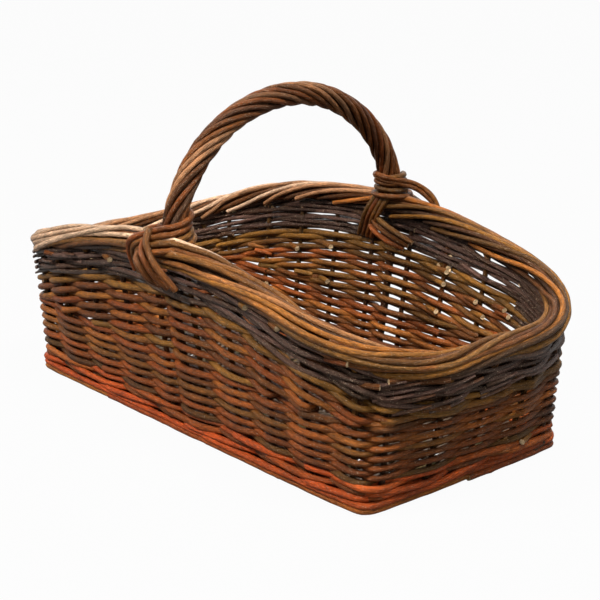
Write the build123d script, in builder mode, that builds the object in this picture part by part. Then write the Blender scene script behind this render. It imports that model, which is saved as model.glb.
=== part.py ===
from build123d import *
import math
import os

# Willow asparagus basket: a long, low, open basket with an arched rim and one bow handle across the middle.
# It is built as a basket maker builds it. A base of lengthwise sticks is woven across with thin rods.
# Stakes are pushed through the base, bent up and held by the upsett wale. Courses of single rods are woven
# round them, the long sides are packed up into an arch, and an upper wale follows the arch. The stakes'
# tails are then rolled round the rim as its border. The handle is a thick bow with its legs down in the
# walls, roped over with rods and bound at both feet.
# Sizes are in millimetres. The origin is at the middle of the base on the floor, +X towards the front end,
# +Y towards the far side and +Z up.

os.makedirs("parts", exist_ok=True)

# Driving sizes of the basket
base_length = 500.0
base_width = 240.0
base_corner = 32.0
rim_length = 556.0
rim_width = 276.0
rim_corner = 93.0
rim_end_height = 127.0
rim_rise = 55.0

# Rods and the gaps between them
stake_diameter = 5.2
wale_diameter = 5.0
weaver_diameter = 4.1
core_diameter = 4.4
core_gap = 0.3
row_gap = 0.25
arched_gap = 0.45
rod_gap = 0.3
butt_gap = 0.8
bend_share = 0.45
straight_turn = math.radians(0.3)

# Stakes round the wall
side_stakes = 10
end_stakes = 5
corner_pair_gap = 28.0

# Base
runner_count = 4
runner_diameter = 6.6
edge_stick_diameter = 9.6
base_weaver_diameter = 3.6
base_weaver_gap = 0.5
floor_wear = 0.5
stick_end_gap = 4.5
side_foot_length = 34.0
end_foot_length = 12.0
foot_bend = 5.4
mortise_gap = 0.2

# Bands of the wall
upsett_rods = 5
foot_rods = 2
full_courses = 12
arched_courses = 2
packing_gap = 1.1
packing_tail = 9.0
upper_wale_rods = 5

# Border, with one tail for each stake
tails_in_roll = 10
tail_gap = 0.6
tail_settled_share = 0.22
tail_free_share = 0.32
top_bend = 8.0
core_rods = 3
core_break = 10.0
parted_length = 29.0
parted_swell = 5.2
parted_lift = 2.0
parted_turn_share = 0.62
parted_point_shares = (-1, -0.65, -0.33, 0, 0.33, 0.65, 1)

# Handle
handle_place = 10.5
bow_diameter = 11.2
bow_apex = 307.0
bow_half_span = 134.0
bow_spring_height = 183.0
bow_lean = 1.5
bow_turns = (17, 34, 52, 71, 90, 109, 128, 146, 163)
leg_bend = 60.0
leg_foot_height = 21.5
rope_rods = 9
rope_diameter = 5.2
rope_gap = 0.35
rope_lay = 150.0
rope_start_height = 201.5
rope_step = 8.0

# Bindings at the handle's feet
binding_diameter = 4.6
way_step = 0.01
coil_turns = 4
coil_pitch = 5.4
coil_gap = 0.3
coil_start_height = 209.0
strap_rods = 3
strap_pitch = 5.2
strap_slant = 5.0
strap_place = 14.2
strap_low_turn = 46.0
strap_gap = 0.45

# Sizes that follow from those above
wale_reach = stake_diameter / 2 + rod_gap + wale_diameter / 2
base_inset = wale_reach + wale_diameter / 2
base_line = (base_length / 2 - base_inset, base_width / 2 - base_inset, base_corner - base_inset)
rim_line = (rim_length / 2, rim_width / 2, rim_corner)
stick_height = base_weaver_diameter - floor_wear + rod_gap + edge_stick_diameter / 2
stick_inset = wale_reach + wale_diameter / 2 + rod_gap
edge_stick_place = base_line[1] - stick_inset - edge_stick_diameter / 2
stick_half = base_line[0] - stick_inset - stick_end_gap
tail_turn = 2 * math.pi / tails_in_roll
roll_radius = (stake_diameter + tail_gap) / 2 / math.sin(tail_turn / 2)
course_pitch = weaver_diameter + row_gap
wale_pitch = wale_diameter + row_gap
arched_pitch = weaver_diameter + arched_gap
upper_pitch = wale_diameter + arched_gap
packing_pitch = weaver_diameter + packing_gap
packing_rods = int(rim_rise / packing_pitch - 0.5)
upsett_first = wale_diameter / 2 + rod_gap
upsett_top = upsett_first + (upsett_rods - 1) * wale_pitch
courses_first = upsett_top + wale_diameter / 2 + weaver_diameter / 2 + row_gap
courses_last = courses_first + (full_courses - 1) * course_pitch
wale_top = rim_end_height - roll_radius - stake_diameter / 2 - wale_diameter / 2 - 2 * rod_gap
wale_bottom = wale_top - (upper_wale_rods - 1) * upper_pitch
arched_last = wale_bottom - wale_diameter / 2 - weaver_diameter / 2 - arched_gap
arched_first = arched_last - (arched_courses - 1) * arched_pitch


def quarter_length(line):
    """Length of a quarter of a rounded rectangle, from the middle of its end to the middle of its side."""
    half_length, half_width, corner = line
    return half_width - corner + math.pi / 2 * corner + half_length - corner


def quarter_place(line, distance):
    """Point and outward direction on the quarter with x and y positive, so far from the middle of the end."""
    half_length, half_width, corner = line
    straight = half_width - corner
    arc = math.pi / 2 * corner
    if distance <= straight:
        return (half_length, distance), (1, 0)
    if distance <= straight + arc:
        turn = (distance - straight) / corner
        out = (math.cos(turn), math.sin(turn))
        return (half_length - corner + corner * out[0], straight + corner * out[1]), out
    return (half_length - corner - (distance - straight - arc), half_width), (0, 1)


def rim_height(x):
    """Height of the border's middle: level at the ends and arched over the long sides."""
    return rim_end_height + arch(x)


def arch(x):
    """Rise of the arch above the ends, at a place along the basket."""
    return rim_rise * max(0, 1 - (2 * x / rim_length) ** 2)


class Station:
    """One upright line in the wall, from its foot on the base line to its head under the border's middle."""

    def __init__(self, distance, sign_x, sign_y):
        share = distance / quarter_length(base_line)
        low, low_out = quarter_place(base_line, distance)
        high, high_out = quarter_place(rim_line, share * quarter_length(rim_line))
        self.low = (sign_x * low[0], sign_y * low[1])
        self.high = (sign_x * high[0], sign_y * high[1])
        self.low_out = (sign_x * low_out[0], sign_y * low_out[1])
        self.high_out = (sign_x * high_out[0], sign_y * high_out[1])
        self.top = rim_height(self.high[0])
        self.head = self.top - roll_radius
        on_quarter = share * quarter_length(rim_line)
        if sign_x == sign_y:
            self.along = on_quarter
        else:
            self.along = 2 * quarter_length(rim_line) - on_quarter
        if sign_y < 0:
            self.along += 2 * quarter_length(rim_line)

    def place(self, height, reach=0):
        """Point on the station at a height, moved outwards by the reach."""
        share = height / self.head
        x = self.low[0] + (self.high[0] - self.low[0]) * share
        y = self.low[1] + (self.high[1] - self.low[1]) * share
        out = self.outward(share)
        return (x + out[0] * reach, y + out[1] * reach, height)

    def outward(self, share):
        """Level unit direction out of the wall, at a share of the station's height."""
        x = self.low_out[0] + (self.high_out[0] - self.low_out[0]) * share
        y = self.low_out[1] + (self.high_out[1] - self.low_out[1]) * share
        size = math.hypot(x, y)
        return (x / size, y / size)


# Distances of the stakes from the middle of an end, over one quarter
quarter = quarter_length(base_line)
corner_inset = (math.pi / 2 * base_line[2] - corner_pair_gap) / 2
end_reach = base_line[1] - base_line[2] + corner_inset
side_reach = base_line[0] - base_line[2] + corner_inset
end_spacing = end_reach / ((end_stakes - 1) / 2)
front_spacing = (side_reach - handle_place) / ((side_stakes - 1) / 2)
back_spacing = (side_reach + handle_place) / ((side_stakes - 1) / 2)
end_places = [end_spacing * i for i in range(end_stakes // 2 + 1)]
side_steps = [side_stakes // 2 - i - 0.5 for i in range(side_stakes // 2)]
front_places = [quarter - handle_place - front_spacing * step for step in side_steps]
back_places = [quarter + handle_place - back_spacing * step for step in side_steps]

front_right = [Station(d, 1, 1) for d in end_places + front_places]
back_right = [Station(d, -1, 1) for d in end_places + back_places]
back_left = [Station(d, -1, -1) for d in end_places[1:] + back_places]
front_left = [Station(d, 1, -1) for d in end_places[1:] + front_places]
stations = front_right + back_right[::-1] + back_left + front_left[::-1]
stake_total = len(stations)
far_leg = Station(quarter - handle_place, 1, 1)
near_leg = Station(quarter - handle_place, 1, -1)
legs = (far_leg, near_leg)
shoulder = bow_diameter / 2
far_shoulders = [Station(quarter - handle_place + side * shoulder, 1, 1) for side in (-1, 1)]
near_shoulders = [Station(quarter - handle_place + side * shoulder, 1, -1) for side in (1, -1)]


def turn_of(before, here, after):
    """Angle in radians by which a route turns at a point."""
    arriving = Vector(*here) - Vector(*before)
    leaving = Vector(*after) - Vector(*here)
    return math.radians(arriving.get_angle(leaving))


def bent_route(points, given=None):
    """Corners and radii of a rounded route through the points. Each radius is the largest that the runs beside
    it allow, and each corner stands outside its point, so that the arc passes through the point. A corner that
    is given a radius, by its number in the route, stays on its point."""
    kept = [Vector(*points[0])]
    for i in range(1, len(points) - 1):
        if turn_of(kept[-1], points[i], points[i + 1]) > straight_turn:
            kept.append(Vector(*points[i]))
    kept.append(Vector(*points[-1]))
    corners = list(kept)
    fixed = {number % len(kept): radius for number, radius in (given or {}).items()}
    for _ in range(8):
        radii = []
        moved = list(kept)
        for i in range(1, len(kept) - 1):
            back = corners[i - 1] - corners[i]
            ahead = corners[i + 1] - corners[i]
            turn = turn_of(corners[i - 1], corners[i], corners[i + 1])
            reach = bend_share * min(back.length, ahead.length)
            if i in fixed:
                radii.append(min(fixed[i], reach / math.tan(turn / 2)))
            else:
                radii.append(reach / math.tan(turn / 2))
                inward = (back.normalized() + ahead.normalized()).normalized()
                moved[i] = kept[i] - inward * (reach * math.tan(turn / 4))
        corners, used = moved, corners
    return [tuple(corner) for corner in used], radii


def add_rod(points, diameter, given=None):
    """A round rod along straight runs joined by tangent arcs, added to the part being built."""
    kept, radii = bent_route(points, given)
    with BuildLine() as route:
        if radii:
            FilletPolyline(*kept, radius=radii)
        else:
            Line(kept[0], kept[1])
    with BuildSketch(Plane(origin=route.line @ 0, z_dir=route.line % 0)) as section:
        Circle(diameter / 2)
    sweep(sections=section.sketch, path=route.line)


def save(piece, name):
    """Labels a finished piece and writes its file."""
    piece.part.label = name
    export_step(piece.part, "parts/" + name + ".step")
    print(name, len(piece.part.solids()), "solids", round(piece.part.volume), "mm3")


def wall_uprights():
    """Every stake in order round the wall with its half thickness, and both sides of each handle leg."""
    order = []
    for i, station in enumerate(stations):
        if i == stake_total - len(front_left):
            order += [(i, side, bow_diameter / 2) for side in near_shoulders]
        order.append((i, station, stake_diameter / 2))
        if i == len(front_right) - 1:
            order += [(i, side, bow_diameter / 2) for side in far_shoulders]
    return order


def middle(a, b, share=0.5):
    """A point between two points."""
    return tuple(p + (q - p) * share for p, q in zip(a, b))


def add_round(diameter, height, goes_inside, first_space, rods=2):
    """One course of rods that meet end to end, each inside or outside the uprights by their numbers."""
    crests = []
    for i, station, thickness in wall_uprights():
        reach = thickness + rod_gap + diameter / 2
        side = -1 if goes_inside(i) else 1
        at = height(station.high[0] + station.high_out[0] * side * reach)
        if thickness > stake_diameter / 2 and at + diameter / 2 < leg_foot_height:
            continue
        crests.append(station.place(at, side * reach))
    count = len(crests)
    steps = count // rods
    for rod in range(rods):
        start = first_space % len(front_right) + rod * steps
        run = [crests[(start + k) % count] for k in range(steps + 2)]
        first = middle(run[0], run[1])
        space = (Vector(*run[-1]) - Vector(*run[-2])).length
        last = middle(run[-2], run[-1], 0.5 - butt_gap / space)
        add_rod([first] + run[1:-1] + [last], diameter)


def level(value):
    """A course at one height all round."""
    return lambda x: value


def arched(value):
    """A course that follows the rim's arch."""
    return lambda x: value + arch(x)


def rim_frame(along):
    """Middle of the border at a distance round the rim, with its outward and its upward direction."""
    lap = quarter_length(rim_line)

    def centre(distance):
        quadrant = int(distance // lap) % 4
        rest = distance % lap
        on_quarter = lap - rest if quadrant % 2 else rest
        (x, y), (out_x, out_y) = quarter_place(rim_line, on_quarter)
        sign_x = -1 if quadrant in (1, 2) else 1
        sign_y = -1 if quadrant in (2, 3) else 1
        return Vector(sign_x * x, sign_y * y, rim_height(x)), Vector(sign_x * out_x, sign_y * out_y, 0)

    here, out = centre(along)
    ahead, _ = centre(along + rod_gap)
    up = out.cross(ahead - here).normalized()
    return here, out, up


def parting(along):
    """How far the border is parted round a handle leg at a place: 0 away from the legs and 1 at a leg."""
    away = min(abs(along % (4 * quarter_length(rim_line)) - leg.along) for leg in legs)
    share = max(0, 1 - away / parted_length)
    return share * share * (3 - 2 * share)


def roll_place(along, turn, reach, parts_tails=True):
    """Point in the rolled border at a turn about its middle. It swells and parts where a leg comes through."""
    here, out, up = rim_frame(along)
    parted = parting(along)
    tilt = math.asin(math.sin(turn))
    if parts_tails:
        tilt *= 1 - (1 - parted_turn_share) * parted
    side = 1 if round(math.cos(turn), 6) >= 0 else -1
    swollen = reach + parted_swell * parted
    lifted = parted_lift * parted
    return tuple(here + out * (side * swollen * math.cos(tilt)) + up * (swollen * math.sin(tilt) + lifted))


def rim_distance(place):
    """Distance round the rim of a place that counts stakes, with shares of the way to the next one."""
    lap = 4 * quarter_length(rim_line)
    whole = math.floor(place)
    start = stations[whole % stake_total].along + lap * (whole // stake_total)
    end = stations[(whole + 1) % stake_total].along + lap * ((whole + 1) // stake_total)
    return start + (end - start) * (place - whole)


def stake_count(along):
    """The place on the first lap that rim_distance turns into this distance."""
    for i in range(stake_total):
        if rim_distance(i) <= along < rim_distance(i + 1):
            return i + (along - rim_distance(i)) / (rim_distance(i + 1) - rim_distance(i))
    return 0


# Places where a tail gets a point: at each stake, half way between stakes, and more of them at a leg
leg_marks = []
for leg in legs:
    for share in parted_point_shares:
        leg_marks.append(stake_count(leg.along + share * parted_length))
plain_marks = [k / 2 for k in range(2 * stake_total) if parting(rim_distance(k / 2)) == 0]
marks = sorted(plain_marks + leg_marks)
marks = marks + [m + stake_total for m in marks]


def tail_points(first):
    """Route of a stake's tail, once round the roll from below over the outside, the top and the inside."""
    last = first + tails_in_roll - 1
    places = [first, first + tail_settled_share]
    places += [m for m in marks if first + tail_free_share < m < last - tail_settled_share]
    places.append(last)
    return [roll_place(rim_distance(m), -math.pi / 2 + (m - first) * tail_turn, roll_radius) for m in places]


def stake_points(number):
    """Route of a whole stake: its foot in the base, up the wall, and its tail in the border."""
    station = stations[number]
    corner = station.place(stick_height)
    on_side = abs(station.low[1]) > base_line[1] - corner_inset
    if on_side:
        inner = (corner[0], corner[1] - math.copysign(side_foot_length, corner[1]), stick_height)
    else:
        inner = (corner[0] - math.copysign(end_foot_length, corner[0]), corner[1], stick_height)
    return [inner, corner, station.place(station.head)] + tail_points(number)[1:]


# Base: edge sticks, each bored for the feet of the side stakes and notched at its ends for the corner ones
side_feet = [s for s in stations if abs(s.low[1]) > base_line[1] - corner_inset]
notch_reach = edge_stick_place - edge_stick_diameter / 2 - stake_diameter / 2 - mortise_gap
corner_feet = [s for s in stations if s not in side_feet and abs(s.low[1]) > notch_reach]
with BuildPart() as base_edge_sticks:
    for side in (-1, 1):
        start = (-stick_half, side * edge_stick_place, stick_height)
        end = (stick_half, side * edge_stick_place, stick_height)
        add_rod([start, end], edge_stick_diameter)
    for station in side_feet:
        corner = station.place(stick_height)
        with Locations(Plane(origin=(corner[0], 0, stick_height), z_dir=(0, 1, 0))):
            Cylinder(stake_diameter / 2 + mortise_gap, base_width, mode=Mode.SUBTRACT)
    for station in corner_feet:
        corner = station.place(stick_height)
        with Locations(Plane(origin=corner, z_dir=(1, 0, 0))):
            Cylinder(stake_diameter / 2 + mortise_gap, 2 * (end_foot_length + rod_gap), mode=Mode.SUBTRACT)
save(base_edge_sticks, "base_edge_sticks")

# Base: runners between the edge sticks
runner_pitch = 2 * edge_stick_place / (runner_count + 1)
runner_places = [-edge_stick_place + runner_pitch * (i + 1) for i in range(runner_count)]
with BuildPart() as base_runners:
    for y in runner_places:
        add_rod([(-stick_half, y, stick_height), (stick_half, y, stick_height)], runner_diameter)
save(base_runners, "base_runners")


def base_weaver(first_side):
    """One rod across the base, over and under the sticks, worn flat where it meets the floor."""
    sticks = [(-edge_stick_place, edge_stick_diameter)]
    sticks += [(y, runner_diameter) for y in runner_places]
    sticks += [(edge_stick_place, edge_stick_diameter)]
    points = []
    for i, (y, thickness) in enumerate(sticks):
        side = first_side * (-1) ** i
        points.append((0, y, stick_height + side * (thickness / 2 + rod_gap + base_weaver_diameter / 2)))
    tail = edge_stick_diameter / 2 - rod_gap
    points.insert(0, (0, points[0][1] - tail, points[0][2]))
    points.append((0, points[-1][1] + tail, points[-1][2]))
    with BuildPart() as rod:
        add_rod(points, base_weaver_diameter)
        split(bisect_by=Plane.XY, keep=Keep.TOP)
    return rod.part


# Base: rods woven across, with room left for each side stake's foot
foot_places = sorted(s.place(stick_height)[0] for s in side_feet if s.low[1] > 0)
foot_room = stake_diameter / 2 + 2 * rod_gap + base_weaver_diameter / 2
base_pitch = base_weaver_diameter + base_weaver_gap
weaver_places = []
for left, right in zip(foot_places, foot_places[1:]):
    room = right - left - 2 * foot_room
    count = int(room / base_pitch) + 1
    weaver_places += [left + foot_room + room * k / (count - 1) for k in range(count)]
with BuildPart() as base_weavers:
    for first_side in (1, -1):
        rod = base_weaver(first_side)
        kept = weaver_places[0::2] if first_side > 0 else weaver_places[1::2]
        with Locations([(x, 0, 0) for x in kept]):
            add(rod)
save(base_weavers, "base_weavers")

# Stakes, in groups by the side that their feet are on
front_numbers = [i for i, s in enumerate(stations) if s not in side_feet and s.low[0] > 0]
back_numbers = [i for i, s in enumerate(stations) if s not in side_feet and s.low[0] < 0]
far_numbers = [i for i, s in enumerate(stations) if s in side_feet and s.low[1] > 0]
near_numbers = [i for i, s in enumerate(stations) if s in side_feet and s.low[1] < 0]
stake_groups = {
    "front_end_stakes": front_numbers,
    "far_side_stakes": far_numbers,
    "back_end_stakes": back_numbers,
    "near_side_stakes": near_numbers,
}
for name, numbers in stake_groups.items():
    with BuildPart() as stakes:
        for number in numbers:
            add_rod(stake_points(number), stake_diameter, {1: foot_bend, 2: top_bend})
    save(stakes, name)


# Upsett wale: the lowest rods run outside the stakes' feet, and the others go behind every third stake
for row in range(upsett_rods):
    height = upsett_first + row * wale_pitch
    with BuildPart() as rods:
        if row < foot_rods:
            add_round(wale_diameter, level(height), lambda i: False, 3 * row)
        else:
            add_round(wale_diameter, level(height), lambda i, row=row: (i + row) % 3 == 0, 3 * row)
    save(rods, "upsett_wale_" + str(row + 1))

# Siding: full courses, the first ones level and the last ones along the arch
for row in range(full_courses + arched_courses):
    if row < full_courses:
        height = level(courses_first + row * course_pitch)
    else:
        height = arched(arched_first + (row - full_courses) * arched_pitch)
    with BuildPart() as rods:
        add_round(weaver_diameter, height, lambda i, row=row: (i + row) % 2 == 0, 5 * row)
    save(rods, "siding_course_" + str(row + 1).zfill(2))


def packing_run(side_numbers, row):
    """Route of a packing rod: it follows the arch over the stakes that are high enough, with tails past them."""
    floor_height = courses_last + course_pitch
    drop = (row + 1) * packing_pitch
    lowest = floor_height - row_gap - arched_first + drop
    held = [i for i in side_numbers if arch(stations[i].high[0]) >= lowest]
    order = [upright for upright in wall_uprights() if upright[0] in held]
    points = []
    for i, station, thickness in order:
        reach = (thickness + rod_gap + weaver_diameter / 2) * (-1 if (i + row) % 2 else 1)
        height = arched_first + arch(station.high[0] + station.high_out[0] * reach) - drop
        points.append(station.place(height, reach))
    ends = []
    for here, inner, station in ((points[0], points[1], order[0][1]), (points[-1], points[-2], order[-1][1])):
        out = station.outward(here[2] / station.head)
        way = Vector(-out[1], out[0], 0)
        if way.dot(Vector(*here) - Vector(*inner)) < 0:
            way = way * -1
        end_height = arched_first + arch(here[0] + way.X * packing_tail) - drop
        end_height = max(end_height, floor_height)
        ends.append((here[0] + way.X * packing_tail, here[1] + way.Y * packing_tail, end_height))
    return [ends[0]] + points + [ends[1]]


for name, side_numbers in (("near_packing_rods", near_numbers), ("far_packing_rods", far_numbers)):
    with BuildPart() as rods:
        for row in range(packing_rods):
            add_rod(packing_run(side_numbers, row), weaver_diameter)
    save(rods, name)

# Upper wale: rods that follow the arch and go behind every third stake
for row in range(upper_wale_rods):
    with BuildPart() as rods:
        height = arched(wale_bottom + row * upper_pitch)
        add_round(wale_diameter, height, lambda i, row=row: (i + row) % 3 == 0, 3 + 3 * row)
    save(rods, "upper_wale_" + str(row + 1))

# Border: rods laid in the middle of the roll, from one handle leg to the other
core_reach = (core_diameter + core_gap) / math.sqrt(3)
next_lap = far_leg.along + 4 * quarter_length(rim_line)
with BuildPart() as border_core_rods:
    for start, end in ((far_leg.along, near_leg.along), (near_leg.along, next_lap)):
        along_rim = [rim_distance(k) for k in range(2 * stake_total)]
        places = [d for d in along_rim if start + parted_length < d < end - parted_length]
        places = [start + core_break] + places + [end - core_break]
        for rod in range(core_rods):
            turn = math.pi / 2 + 2 * math.pi * rod / core_rods
            points = []
            for along in places:
                here, out, up = rim_frame(along)
                aside = out * (core_reach * math.cos(turn)) + up * (core_reach * math.sin(turn))
                points.append(tuple(here + aside))
            add_rod(points, core_diameter)
save(border_core_rods, "border_core_rods")

# Handle bow: its legs stand in the walls and its middle is half an ellipse
bow_x = far_leg.high[0]
bow_rise = bow_apex - bow_spring_height
roll_top = far_leg.top + roll_radius + stake_diameter / 2
bow_points = [near_leg.place(leg_foot_height), near_leg.place(near_leg.head)]
bow_points.append((bow_x, bow_lean - rim_width / 2, roll_top))
for degrees in bow_turns:
    across = -bow_half_span * math.cos(math.radians(degrees))
    bow_points.append((bow_x, across, bow_spring_height + bow_rise * math.sin(math.radians(degrees))))
bow_points.append((bow_x, rim_width / 2 - bow_lean, roll_top))
bow_points += [far_leg.place(far_leg.head), far_leg.place(leg_foot_height)]
bow_radii = {1: leg_bend, -2: leg_bend}
with BuildPart() as handle_bow:
    add_rod(bow_points, bow_diameter, bow_radii)
save(handle_bow, "handle_bow")

kept, radii = bent_route(bow_points, bow_radii)
with BuildLine() as bow_route:
    FilletPolyline(*kept, radius=radii)
bow_line = bow_route.wires()[0]
bow_run = bow_line.length


def bow_distance(height):
    """Distance along the bow from the near leg's foot to the first place at that height."""
    low, high = 0.0, bow_run / 2
    for _ in range(40):
        half = (low + high) / 2
        if bow_line.position_at(half / bow_run).Z < height:
            low = half
        else:
            high = half
    return low


def round_bow(distance, turn, reach):
    """Point at a turn about the bow: zero is on its outer side, and a quarter turn is towards the front."""
    here = bow_line.position_at(distance / bow_run)
    travel = bow_line.tangent_at(distance / bow_run)
    front = Vector(1, 0, 0)
    outer = front.cross(travel).normalized()
    return tuple(here + outer * (reach * math.cos(turn)) + front * (reach * math.sin(turn)))


# Handle rope: rods laid side by side round the bow
rope_reach = bow_diameter / 2 + rope_gap + rope_diameter / 2
rope_start = bow_distance(rope_start_height)
rope_run = bow_run - 2 * rope_start
rope_steps = round(rope_run / rope_step)
for rod in range(rope_rods):
    points = []
    for k in range(rope_steps + 1):
        distance = rope_start + rope_run * k / rope_steps
        turn = 2 * math.pi * (rod / rope_rods + (distance - rope_start) / rope_lay)
        points.append(round_bow(distance, turn, rope_reach))
    with BuildPart() as rope:
        add_rod(points, rope_diameter)
    save(rope, "handle_rope_rod_" + str(rod + 1))


def biarc(start, start_way, end, end_way):
    """Two arcs that leave a point in one direction and arrive at another point in another direction."""
    across = end - start
    ways = start_way + end_way
    a = 2 * (1 - start_way.dot(end_way))
    b = 2 * across.dot(ways)
    reach = (-b + math.sqrt(b * b + 4 * a * across.dot(across))) / (2 * a)
    joint = (start + start_way * reach + end - end_way * reach) / 2
    TangentArc(start, joint, tangent=start_way)
    TangentArc(end, joint, tangent=end_way * -1)


# Leg bindings: one rod wound round the roped leg in four turns, each quarter turn a pair of arcs
coil_reach = rope_reach + rope_diameter / 2 + coil_gap + binding_diameter / 2
coil_steps = 4 * coil_turns


def coil_spot(step, mirrored):
    """Point on the winding's middle line after so many quarter turns, on the near leg or on the far one."""
    distance = bow_distance(coil_start_height) + coil_pitch * step / 4
    x, y, z = round_bow(distance, math.pi * step / 2, coil_reach)
    return Vector(x, -y if mirrored else y, z)


def coil_way(step, mirrored):
    """Direction of the winding there."""
    return (coil_spot(step + way_step, mirrored) - coil_spot(step - way_step, mirrored)).normalized()


def coil_self_gap(mirrored):
    """Least gap between one turn and the next, measured on points."""
    dense = [coil_spot(k / 8, mirrored) for k in range(8 * coil_steps + 1)]
    least = min((p - q).length for i, p in enumerate(dense) for q in dense[i + 16:])
    return least - binding_diameter


for name, mirrored in (("near_leg_winding", False), ("far_leg_winding", True)):
    first, last = coil_spot(0, mirrored), coil_spot(coil_steps, mirrored)
    first_way, last_way = coil_way(0, mirrored), coil_way(coil_steps, mirrored)
    with BuildPart() as winding:
        with BuildLine() as route:
            Line(first - first_way * binding_diameter, first)
            for step in range(coil_steps):
                here, there = coil_spot(step, mirrored), coil_spot(step + 1, mirrored)
                biarc(here, coil_way(step, mirrored), there, coil_way(step + 1, mirrored))
            Line(last, last + last_way * binding_diameter)
        with BuildSketch(Plane(origin=first - first_way * binding_diameter, z_dir=first_way)) as section:
            Circle(binding_diameter / 2)
        sweep(sections=section.sketch, path=route.line)
    save(winding, name)
    print("least gap between turns", round(coil_self_gap(mirrored), 2))


# Border bindings: rods that clasp the border on both sides of each leg
strap_reach = roll_radius + stake_diameter / 2 + strap_gap + binding_diameter / 2
low_turn = math.radians(strap_low_turn)
strap_turns = [-low_turn + (math.pi + 2 * low_turn) * k / 8 for k in range(9)]
for name, leg in (("near_border_binding", near_leg), ("far_border_binding", far_leg)):
    with BuildPart() as straps:
        for side in (-1, 1):
            for rod in range(strap_rods):
                points = []
                for turn in strap_turns:
                    aside = strap_place + rod * strap_pitch + strap_slant * (1 - math.sin(turn))
                    points.append(roll_place(leg.along + side * aside, turn, strap_reach, False))
                add_rod(points, binding_diameter)
    save(straps, name)
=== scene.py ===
import math
import random
import bpy
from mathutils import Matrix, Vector


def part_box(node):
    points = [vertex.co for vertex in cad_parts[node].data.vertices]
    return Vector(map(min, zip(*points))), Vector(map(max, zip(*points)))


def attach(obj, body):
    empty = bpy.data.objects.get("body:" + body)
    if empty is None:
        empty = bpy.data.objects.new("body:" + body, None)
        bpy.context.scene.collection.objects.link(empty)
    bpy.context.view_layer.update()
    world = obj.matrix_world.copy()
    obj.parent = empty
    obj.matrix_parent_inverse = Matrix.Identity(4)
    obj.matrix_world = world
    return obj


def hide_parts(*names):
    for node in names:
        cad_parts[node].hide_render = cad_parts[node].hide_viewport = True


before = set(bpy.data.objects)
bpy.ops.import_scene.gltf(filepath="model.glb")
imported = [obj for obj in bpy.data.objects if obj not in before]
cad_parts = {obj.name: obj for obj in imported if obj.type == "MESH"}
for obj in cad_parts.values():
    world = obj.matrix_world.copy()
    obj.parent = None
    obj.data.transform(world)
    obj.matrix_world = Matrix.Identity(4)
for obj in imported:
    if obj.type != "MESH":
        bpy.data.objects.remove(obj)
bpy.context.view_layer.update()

# Willow asparagus basket. Every rod is laid as the maker lays it: its route is a short list of
# places on the wall, the rim or the handle, and rod() turns that route into a tapered stick with its own
# bark colour. Lengths are in metres. Places round the basket are counted in stakes, anticlockwise from the
# middle of the front, and a share is a part of the whole lap from there.

random.seed(41)
mm = 0.001

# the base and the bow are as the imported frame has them, and the rim's line is the one its solids follow
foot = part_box("upsett_wale_1")
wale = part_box("upper_wale_5")
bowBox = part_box("handle_bow")
footRadius = 2.5 * mm
bowRadius = 5.6 * mm
size = {
    "baseHalfLength": foot[1].x - footRadius,
    "baseHalfWidth": foot[1].y - footRadius,
    "wallIn": 5.4 * mm,  # from the middle of the foot wale to the middle of the wall
    "rimHalfLength": 0.278,
    "rimHalfWidth": 0.138,
    "rimCorner": 0.093,
    "baseCorner": 0.007,
    "rimEnd": 0.127,
    "rimRise": 0.055,
    "roll": 9.9 * mm,
    "handlePlace": 0.5 * (bowBox[0].x + bowBox[1].x),
    "bowTop": bowBox[1].z - bowRadius,
}
print("frame: basket", round(wale[1].x - wale[0].x, 3), "m long at the wale")


# the basket's own lines

def quarterLength(line):
    halfLength, halfWidth, corner = line
    return halfWidth - corner + math.pi / 2 * corner + halfLength - corner


def quarterPlace(line, distance):
    # place and outward way on the quarter with x and y positive, from the middle of the end
    halfLength, halfWidth, corner = line
    straight = halfWidth - corner
    arc = math.pi / 2 * corner
    if distance <= straight:
        return (halfLength, distance), (1.0, 0.0)
    if distance <= straight + arc:
        turn = (distance - straight) / corner
        return ((halfLength - corner + corner * math.cos(turn), straight + corner * math.sin(turn)),
                (math.cos(turn), math.sin(turn)))
    return (halfLength - corner - (distance - straight - arc), halfWidth), (0.0, 1.0)


baseLine = (size["baseHalfLength"] - size["wallIn"], size["baseHalfWidth"] - size["wallIn"],
            size["baseCorner"])
rimLine = (size["rimHalfLength"], size["rimHalfWidth"], size["rimCorner"])
baseQuarter = quarterLength(baseLine)
rimQuarter = quarterLength(rimLine)
baseLap = 4 * baseQuarter


def arch(x):
    return size["rimRise"] * max(0.0, 1 - (x / size["rimHalfLength"]) ** 2)


def rimHeight(x):
    return size["rimEnd"] + arch(x)


def onLap(line, quarter, share):
    # share of a lap, from the middle of the front, anticlockwise
    distance = (share % 1.0) * 4 * quarter
    quadrant = int(distance // quarter) % 4
    rest = distance - quadrant * quarter
    onQuarter = quarter - rest if quadrant % 2 else rest
    (x, y), (outX, outY) = quarterPlace(line, min(max(onQuarter, 0.0), quarter))
    signX = -1 if quadrant in (1, 2) else 1
    signY = -1 if quadrant in (2, 3) else 1
    return Vector((signX * x, signY * y, 0)), Vector((signX * outX, signY * outY, 0))


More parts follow.
